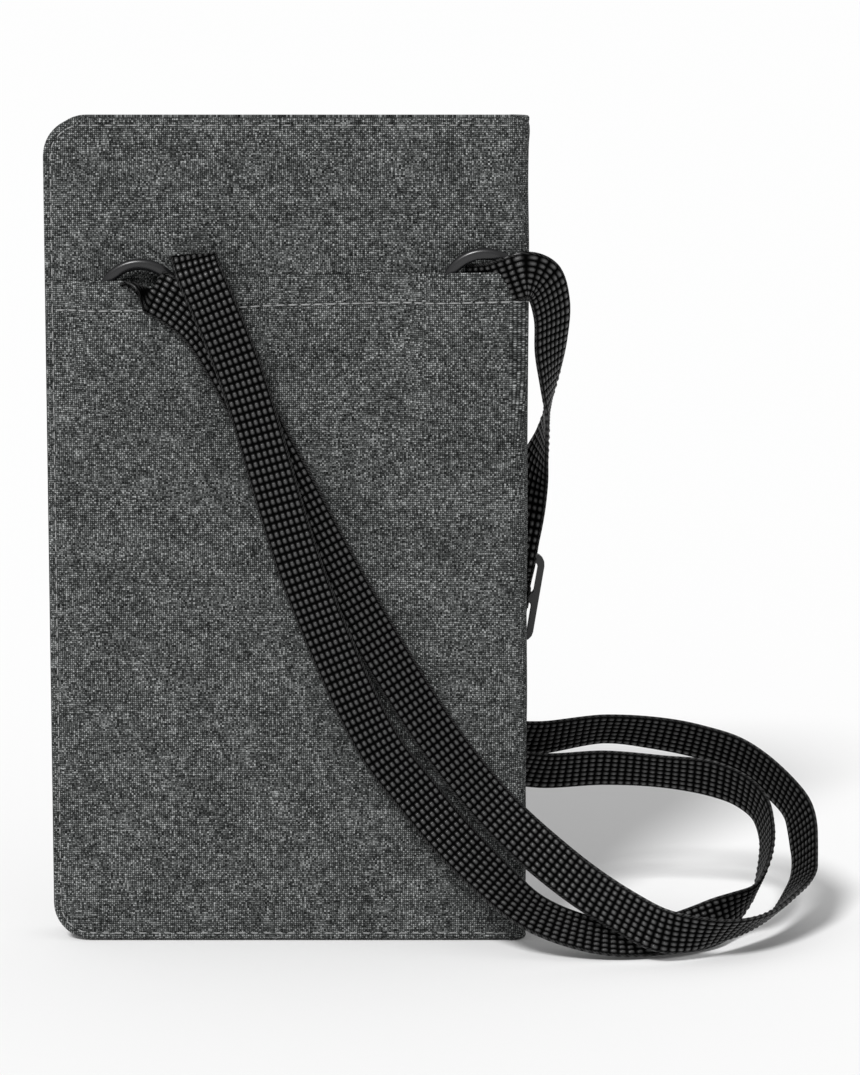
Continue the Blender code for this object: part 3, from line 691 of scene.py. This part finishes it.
def pouch_gusset():
    """The narrow band sewn between the sides, along the left edge and the bottom."""
    end = RIGHT - 2.0
    path = []
    centre = LEFT + CORNER
    for i in range(17):
        angle = math.radians(90 + 90 * i / 16)
        path.append((centre + CORNER * math.cos(angle), HEIGHT - CORNER + CORNER * math.sin(angle),
                     math.cos(angle), math.sin(angle)))
    for z in spaced(HEIGHT - CORNER, CORNER, -2.0)[1:]:
        path.append((LEFT, z, -1.0, 0.0))
    for i in range(1, 17):
        angle = math.radians(180 + 90 * i / 16)
        path.append((centre + CORNER * math.cos(angle), CORNER + CORNER * math.sin(angle),
                     math.cos(angle), math.sin(angle)))
    for x in spaced(centre, end, 2.0)[1:]:
        path.append((x, 0.0, 0.0, -1.0))
    half = (BACK - FRONT) / 2 - 0.75
    shares = [-1, -0.95, -0.88, -0.78, -0.6, -0.35, 0, 0.35, 0.6, 0.78, 0.88, 0.95, 1]
    points, uv, run, last = [], [], 0.0, None
    for x, z, nx, nz in path:
        run += 0 if last is None else math.hypot(x - last[0], z - last[1])
        last = (x, z)
        past = max(x - (RIGHT - FOLD_RADIUS), 0.0)
        narrow = FOLD_RADIUS - math.sqrt(max(FOLD_RADIUS ** 2 - past ** 2, 0.0))
        for share in shares:
            y = MID + share * (half - narrow)
            ripple = noise.noise(Vector((run / 14, share * 1.2, 2.0)))
            sunk = 0.25 + 0.75 * (1 - share ** 2) ** 0.5
            sunk -= 0.25 * math.exp(-(((abs(share) - 0.9) / 0.06) ** 2))
            sunk += 0.25 * ripple * (1 - share ** 2)
            points.append((x - nx * sunk, y, z - nz * sunk))
            uv.append((y + 300, run))
    faces = grid_faces(len(path), len(shares))
    piece = make("pouch_gusset", points, faces, "melange_cloth", uv=uv)
    thicken(piece, CLOTH * 0.8)
    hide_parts("gusset_band")
    return piece


def pocket_level(x):
    """The height that the slip pocket's hem follows."""
    share = (x - LEFT) / (RIGHT - LEFT)
    return POCKET_EDGE_LEFT + (POCKET_EDGE_RIGHT - POCKET_EDGE_LEFT) * share


def pocket_top(x):
    """The height of the slip pocket's edge, which dips where the strap crosses it."""
    return pocket_level(x) - DIP_DEPTH * math.exp(-(((x - DIP_PLACE) / DIP_HALF_WIDTH) ** 4))


def ease(t):
    """A smooth step from 0 to 1."""
    t = min(max(t, 0.0), 1.0)
    return t * t * (3 - 2 * t)


def band(value, start, end, fade):
    """1 between start and end, fading to 0 on both sides."""
    return ease((value - start + fade) / fade) * ease((end + fade - value) / fade)


def pocket_out(x, z):
    """How far the slip pocket stands off the shell: it is pushed out by the rings and the strap."""
    below = pocket_top(x) - z
    out = 0.5 + 0.5 * math.exp(-((below / 30) ** 2))
    left = band(x, -48.5, -25.5, 11.0)
    right = band(x, 40.5, 66.0, 13.0)
    middle = band(x, -31.0, -12.0, 9.0)
    down = ease((z - 122) / 34)
    rings = RING_PUSH * max(left, right) * down
    return out + max(rings, STRAP_PUSH * middle * ease((z - 132) / 28))


def hem_relief(x, z):
    """The folded hem along the pocket's edge: a rolled edge, two plies, and the sunk stitch line."""
    relief = -0.7 * rolled(pocket_top(x) - z, 0.9)
    below = pocket_level(x) - z
    relief += 0.35 / (1 + math.exp((below - HEM_DEPTH - 0.6) / 0.35))
    return relief - 0.3 * math.exp(-(((below - HEM_DEPTH) / 0.5) ** 2))


def pocket_point(s, z, extra=0.0):
    x = plan(s)[0]
    taper = ease((POCKET_RUN - s) / 2.5)
    e = min(s, z) if not (s < CORNER and z < CORNER) else edge_distance(x, z)
    relief = -0.8 * rolled(e, EDGE_ROLL)
    out = POCKET_GAP + (pocket_out(x, z) - POCKET_GAP) * taper * min(1.0, s / 12.0)
    px, py, pz = shell_point(s, z, out + hem_relief(x, z) + relief + extra)
    return min(px, RIGHT + 0.5), py, pz


POCKET_RUN = FRONT_RUN + 0.55 * ARC_RUN


def pocket_front():
    """The slip pocket's cloth, sewn down at both sides and the bottom, open along its hem."""
    columns = edge_steps() + spaced(10, FRONT_RUN, 1.3)[1:]
    columns += spaced(FRONT_RUN, POCKET_RUN, 0.45)[1:]
    depths = [0, 0.1, 0.25, 0.5, 0.9, 1.6, 2.6, 4.0, 5.4, 6.6, 7.1, 7.4, 7.7, 8.0, 8.4, 9.0, 10.0]
    points, uv = [], []
    low_steps = edge_steps()
    rows = 0
    shares = [i / 96 for i in range(1, 96)]
    for s in columns:
        x = plan(s)[0]
        bottom = corner_inset(s)
        top = pocket_top(x)
        lows = [bottom + d * 0.999 for d in low_steps]
        highs = [top - d for d in reversed(depths)]
        middle = [lows[-1] + (highs[0] - lows[-1]) * share for share in shares]
        heights = lows + middle + highs
        rows = len(heights)
        for z in heights:
            points.append(pocket_point(s, z))
            uv.append((s + 500, z))
    faces = grid_faces(len(columns), rows, flip=True)
    piece = make("slip_pocket_cloth", points, faces, "melange_cloth", uv=uv)
    thicken(piece, POCKET_PLY)
    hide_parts("slip_pocket")
    return piece


def stitches(name, places, outs, pitch=STITCH_PITCH, share=0.68, radius=0.19):
    """A row of stitches along a line of places: each a short thread that dips in at both ends."""
    places = [Vector(p) for p in places]
    runs = [0.0]
    for a, b in zip(places, places[1:]):
        runs.append(runs[-1] + (b - a).length)

    def at(run):
        k = int(np.searchsorted(runs, run, side="right")) - 1
        k = min(max(k, 0), len(places) - 2)
        t = (run - runs[k]) / max(runs[k + 1] - runs[k], 1e-9)
        return places[k].lerp(places[k + 1], t), Vector(outs[k]).lerp(Vector(outs[k + 1]), t)

    sides, rings = 6, 7
    points, faces = [], []
    count = int(runs[-1] / pitch)
    start = (runs[-1] - count * pitch + pitch * (1 - share)) / 2
    for n in range(count):
        base = len(points)
        middle = start + n * pitch + pitch * share / 2
        for i in range(rings):
            t = -1 + 2 * i / (rings - 1)
            place, out = at(min(max(middle + t * pitch * share / 2, 0.0), runs[-1]))
            ahead, _ = at(min(middle + t * pitch * share / 2 + 0.2, runs[-1]))
            behind, _ = at(max(middle + t * pitch * share / 2 - 0.2, 0.0))
            forward = (ahead - behind).normalized()
            out = (out - forward * out.dot(forward)).normalized()
            side = forward.cross(out)
            sink = radius * 0.4 - 1.7 * radius * abs(t) ** 3
            wide = radius * (1 - 0.55 * abs(t) ** 4)
            for k in range(sides):
                turn = 2 * math.pi * k / sides
                rise = sink + wide * math.sin(turn)
                points.append(place + out * rise + side * wide * math.cos(turn))
        faces += grid_faces(rings, sides, offset=base, around=True)
        faces.append(tuple(base + k for k in reversed(range(sides))))
        faces.append(tuple(base + (rings - 1) * sides + k for k in range(sides)))
    return make(name, points, faces, "thread")


def panel_stitches(name, back):
    """The stitches round a side panel, from its bottom right, round the left, to its top right."""
    corner = CORNER - STITCH_INSET
    right = RIGHT - FOLD_RADIUS + 1.5
    line = [(x, STITCH_INSET) for x in spaced(right, LEFT + CORNER, -2.0)]
    line += [(LEFT + CORNER + corner * math.cos(a), CORNER + corner * math.sin(a))
             for a in (math.radians(270 - 90 * i / 10) for i in range(1, 11))]
    line += [(LEFT + STITCH_INSET, z) for z in spaced(CORNER, HEIGHT - CORNER, 2.0)[1:]]
    line += [(LEFT + CORNER + corner * math.cos(a), HEIGHT - CORNER + corner * math.sin(a))
             for a in (math.radians(180 - 90 * i / 10) for i in range(1, 11))]
    line += [(x, HEIGHT - STITCH_INSET) for x in spaced(LEFT + CORNER, right, 2.0)[1:]]
    places, outs = [], []
    for x, z in line:
        s = x - LEFT
        if back:
            places.append(shell_point(AROUND - s, z, STITCH_RAISE))
        elif z < POCKET_EDGE_LEFT:
            places.append(pocket_point(s, z, STITCH_RAISE))
        else:
            places.append(shell_point(s, z, STITCH_RAISE))
        outs.append((0, 1 if back else -1, 0))
    return stitches(name, places, outs)


def line_stitches():
    """The hem's stitches, and those round the zipped pocket's slot."""
    places = []
    for s in spaced(1.5, POCKET_RUN - 1.2, 1.0):
        x = plan(s)[0]
        places.append(pocket_point(s, pocket_level(x) - HEM_DEPTH, HEM_STITCH_RAISE))
    stitches("hem_stitches", places, [(0, -1, 0)] * len(places), share=0.8, radius=0.23)
    half_x, half_z = SLOT_HALF[0] + 2.2, SLOT_HALF[1] + 2.2
    corners = [(-half_x, -half_z), (half_x, -half_z), (half_x, half_z), (-half_x, half_z)]
    corners.append(corners[0])
    line = []
    for (ax, az), (bx, bz) in zip(corners, corners[1:]):
        count = max(2, int(math.hypot(bx - ax, bz - az) / 1.5))
        line += [(ax + (bx - ax) * i / count, az + (bz - az) * i / count) for i in range(count)]
    line.append(corners[-1])
    raised = STITCH_RAISE / 2
    places = [shell_point(AROUND - (x - LEFT), SLOT_HEIGHT + z, raised) for x, z in line]
    stitches("slot_stitches", places, [(0, 1, 0)] * len(places), pitch=2.6, radius=0.17)


# ---------------------------------------------------------------- strap


def smooth_route(stations, step):
    """The route through the stations, smoothed, at even steps: places, directions and widths."""
    places = np.array([p for p, _ in stations], float)
    widths = np.array([Vector(w).normalized() for _, w in stations], float)
    values = np.hstack([places, widths])
    first = 2 * values[0] - values[1]
    last = 2 * values[-1] - values[-2]
    values = np.vstack([first, values, last])
    knots = [0.0]
    for a, b in zip(values, values[1:]):
        knots.append(knots[-1] + math.sqrt(np.linalg.norm(b[:3] - a[:3])))
    dense = []
    for i in range(1, len(values) - 2):
        t0, t1, t2, t3 = knots[i - 1 : i + 3]
        p0, p1, p2, p3 = values[i - 1 : i + 3]
        for t in np.linspace(t1, t2, 24, endpoint=False):
            a1 = (t1 - t) / (t1 - t0) * p0 + (t - t0) / (t1 - t0) * p1
            a2 = (t2 - t) / (t2 - t1) * p1 + (t - t1) / (t2 - t1) * p2
            a3 = (t3 - t) / (t3 - t2) * p2 + (t - t2) / (t3 - t2) * p3
            b1 = (t2 - t) / (t2 - t0) * a1 + (t - t0) / (t2 - t0) * a2
            b2 = (t3 - t) / (t3 - t1) * a2 + (t - t1) / (t3 - t1) * a3
            dense.append((t2 - t) / (t2 - t1) * b1 + (t - t1) / (t2 - t1) * b2)
    dense.append(values[-2])
    dense = np.array(dense)
    runs = np.concatenate([[0], np.cumsum(np.linalg.norm(np.diff(dense[:, :3], axis=0), axis=1))])
    even = np.linspace(0, runs[-1], int(runs[-1] / step) + 1)
    smooth = np.stack([np.interp(even, runs, dense[:, k]) for k in range(6)], axis=1)
    line, width = smooth[:, :3], smooth[:, 3:]
    forward = np.gradient(line, axis=0)
    forward /= np.linalg.norm(forward, axis=1)[:, None]
    width = width - forward * np.sum(width * forward, axis=1)[:, None]
    width /= np.linalg.norm(width, axis=1)[:, None]
    return line, forward, width, even


def strap(name, stations, nodes):
    """Webbing along a route: rows of raised floats on both faces, and a thin selvedge at each side."""
    line, forward, width, runs = smooth_route(stations, ROW_PITCH / 5)
    up = np.cross(forward, width)
    half = STRAP_WIDTH / 2
    ribs = half - SELVEDGE
    pitch = 2 * ribs / COLUMNS
    across = [-half, -half + 0.15, -half + 0.4]
    across += list(np.linspace(-ribs, ribs, COLUMNS * 5 + 1))
    across += [half - 0.4, half - 0.15, half]
    across = np.array(across)
    inside = np.abs(across) < ribs - 1e-6
    cell = np.where(inside, 0.5 - 0.5 * np.cos(2 * math.pi * (across + ribs) / pitch), 0.0)
    row = 0.5 - 0.5 * np.cos(2 * math.pi * runs / ROW_PITCH)
    edge = np.sqrt(np.clip(1 - ((np.abs(across) - (half - 0.45)) / 0.45).clip(0, 1) ** 2, 0.05, 1))
    body = (STRAP_THICKNESS / 2 - GROUND_DEPTH) * edge
    raised = FLOAT_RISE * np.power(np.outer(row, cell), 0.6)
    height = body[None, :] + raised
    u = (across + ribs) / pitch * COLUMN_PITCH
    sheets, uv = [], []
    for side in (1, -1):
        top = line[:, None, :] + width[:, None, :] * across[None, :, None]
        top = top + side * up[:, None, :] * height[:, :, None]
        sheets.append(top.reshape(-1, 3))
        uv.append(np.stack(np.meshgrid(u, runs), axis=-1).reshape(-1, 2))
    points = np.vstack(sheets)
    rows, columns = len(runs), len(across)
    faces = grid_faces(rows, columns, flip=False)
    faces += grid_faces(rows, columns, offset=rows * columns, flip=True)
    under = rows * columns
    for i in range(rows - 1):
        a, b = i * columns, (i + 1) * columns
        faces.append((a, b, under + b, under + a))
        a, b = a + columns - 1, b + columns - 1
        faces.append((b, a, under + a, under + b))
    for j in range(columns - 1):
        faces.append((j + 1, j, under + j, under + j + 1))
        a = (rows - 1) * columns + j
        faces.append((a, a + 1, under + a + 1, under + a))
    piece = make(name, points, faces, "black_webbing", uv=np.vstack(uv))
    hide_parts(*nodes)


def glide_point(along, back):
    lean = math.radians(GLIDE_LEAN)
    x, y, z = GLIDE_CENTRE
    return (x + along * math.sin(lean), y + back, z + along * math.cos(lean))


def straps():
    lean = math.radians(GLIDE_LEAN)
    width = (-math.cos(lean), 0, math.sin(lean))
    above = [(glide_point(*point), width) for point in WEAVE_ABOVE_BAR]
    width = tuple(-c for c in width)
    below = [(glide_point(*point), width) for point in WEAVE_BELOW_BAR]
    end = [(glide_point(*point), width) for point in RETURN_WEAVE]
    ring_run = RING_RUN + above
    outer_run = below + OUTER_RUN
    return_run = RETURN_RUN + end
    strap("webbing_ring_run", ring_run, ["strap_ring_run"])
    strap("webbing_outer_run", outer_run, ["strap_outer_run"])
    strap("webbing_return_run", return_run, ["strap_return_run"])


def ring(name, node):
    """A strap ring, smooth and slightly flattened, in the place of its CAD ring."""
    low, high = box_mm(node)
    centre_x = (low.x + high.x) / 2
    middle = RING_RADIUS - RING_BAND / 2
    around, section = 120, 28
    lean = math.radians(RING_LEAN)
    centre = Vector((centre_x, (low.y + high.y) / 2, (low.z + high.z) / 2))
    points = []
    for i in range(around):
        angle = 2 * math.pi * i / around
        for k in range(section):
            turn = 2 * math.pi * k / section
            c, n = math.cos(turn), math.sin(turn)
            radius = middle + RING_BAND / 2 * math.copysign(abs(c) ** 0.8, c)
            depth = RING_THICKNESS / 2 * math.copysign(abs(n) ** 0.9, n)
            x, y, z = radius * math.cos(angle), depth, radius * math.sin(angle)
            points.append(centre + Vector((x, y * math.cos(lean) - z * math.sin(lean),
                                           y * math.sin(lean) + z * math.cos(lean))))
    faces = []
    for i in range(around):
        for k in range(section):
            a, b = i * section, (i + 1) % around * section
            j = (k + 1) % section
            faces.append((a + k, a + j, b + j, b + k))
    piece = make(name, points, faces, "black_plastic")
    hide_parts(node)
    return piece


# ---------------------------------------------------------------- zips and fittings


def coil(name, node, along, across, out):
    """A closed coil: loops of nylon from each side, locked along the middle."""
    low, high = box_mm(node)
    centre = (low + high) / 2
    half = (high - low).dot(Vector([abs(c) for c in along])) / 2
    pitch, wire = 1.25, 0.34
    along, across, out = Vector(along), Vector(across), Vector(out)
    points, faces = [], []
    sides, rings = 8, 15
    count = int(2 * half / pitch)
    for n in range(count):
        for side in (-1, 1):
            run = -half + (n + 0.5 + 0.25 * side) * pitch
            base = len(points)
            for i in range(rings):
                t = i / (rings - 1)
                turn = math.pi * (0.12 + 1.76 * t)
                wide = side * (1.05 - 1.0 * math.cos(turn))
                high_at = 0.8 * math.sin(turn)
                place = centre + along * (run + 0.25 * (t - 0.5)) + across * wide + out * high_at
                tangent = (across * side * math.sin(turn) + out * 0.8 * math.cos(turn)).normalized()
                normal = along.cross(tangent)
                for k in range(sides):
                    angle = 2 * math.pi * k / sides
                    points.append(place + wire * (along * math.cos(angle) + normal * math.sin(angle)))
            faces += grid_faces(rings, sides, offset=base, around=True)
            faces.append(tuple(base + k for k in reversed(range(sides))))
            faces.append(tuple(base + (rings - 1) * sides + k for k in range(sides)))
    piece = make(name, points, faces, "zip_coil")
    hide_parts(node)
    return piece


def rounded_hardware(node, width):
    """Rounds the edges of a CAD node as it is shown, leaving its mesh as it is."""
    piece = frame["nodes"][node]
    weld = piece.modifiers.new("weld", "WELD")
    weld.merge_threshold = 0.000001
    bevel = piece.modifiers.new("round", "BEVEL")
    bevel.width = width * MM
    bevel.segments = 3
    bevel.limit_method = "ANGLE"
    bevel.angle_limit = math.radians(25)
    bevel.harden_normals = True


def dress_nodes():
    """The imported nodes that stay: each takes the look of its material slot."""
    for entry in frame["record"]["subparts"]:
        piece = frame["nodes"][entry["node"]]
        piece.data.materials.clear()
        piece.data.materials.append(LOOKS[entry["material_slot"]])
    rounded_hardware("strap_glide", 0.5)
    for prefix in ("top_zip", "pocket_zip"):
        rounded_hardware(prefix + "_slider", 0.25)
        rounded_hardware(prefix + "_pull", 0.25)


# ---------------------------------------------------------------- stage


def studio():
    mesh = bpy.data.meshes.new("floor")
    signs = ((-1, -1), (1, -1), (1, 1), (-1, 1))
    corners = [(x * FLOOR_SIZE, y * FLOOR_SIZE, FLOOR_LEVEL) for x, y in signs]
    mesh.from_pydata(corners, [], [(0, 1, 2, 3)])
    floor = bpy.data.objects.new("floor", mesh)
    bpy.context.collection.objects.link(floor)
    mesh.materials.append(pale_floor())

    world = bpy.data.worlds.new("studio")
    bpy.context.scene.world = world
    world.use_nodes = True
    background = world.node_tree.nodes["Background"]
    background.inputs["Color"].default_value = (1, 1, 1, 1)
    background.inputs["Strength"].default_value = WORLD_STRENGTH
    data = bpy.data.lights.new("key", "SUN")
    data.angle = math.radians(KEY_SPREAD)
    data.energy = KEY_POWER
    key = bpy.data.objects.new("key", data)
    bpy.context.collection.objects.link(key)
    key.rotation_euler = Vector(KEY_DIRECTION).to_track_quat("-Z", "Y").to_euler()
    bpy.context.scene.view_settings.view_transform = "Standard"


def camera():
    data = bpy.data.cameras.new("camera")
    data.sensor_width = 36.0
    data.lens = CAMERA_LENS
    data.shift_y = CAMERA_SHIFT
    data.clip_start = 0.05
    data.clip_end = 200
    made = bpy.data.objects.new("camera", data)
    bpy.context.collection.objects.link(made)
    made.location = CAMERA_PLACE
    made.rotation_euler = (math.radians(90 - CAMERA_PITCH), 0, 0)
    bpy.context.scene.camera = made


camera()
studio()
dress_nodes()
straps()
pouch_shell()
pouch_gusset()
pocket_front()
panel_stitches("front_stitches", back=False)
panel_stitches("back_stitches", back=True)
line_stitches()
ring("left_ring_smooth", "left_strap_ring")
ring("right_ring_smooth", "right_strap_ring")
coil("top_zip_coil_loops", "top_zip_coil", (1, 0, 0), (0, 1, 0), (0, 0, 1))
coil("pocket_zip_coil_loops", "pocket_zip_coil", (1, 0, 0), (0, 0, 1), (0, 1, 0))
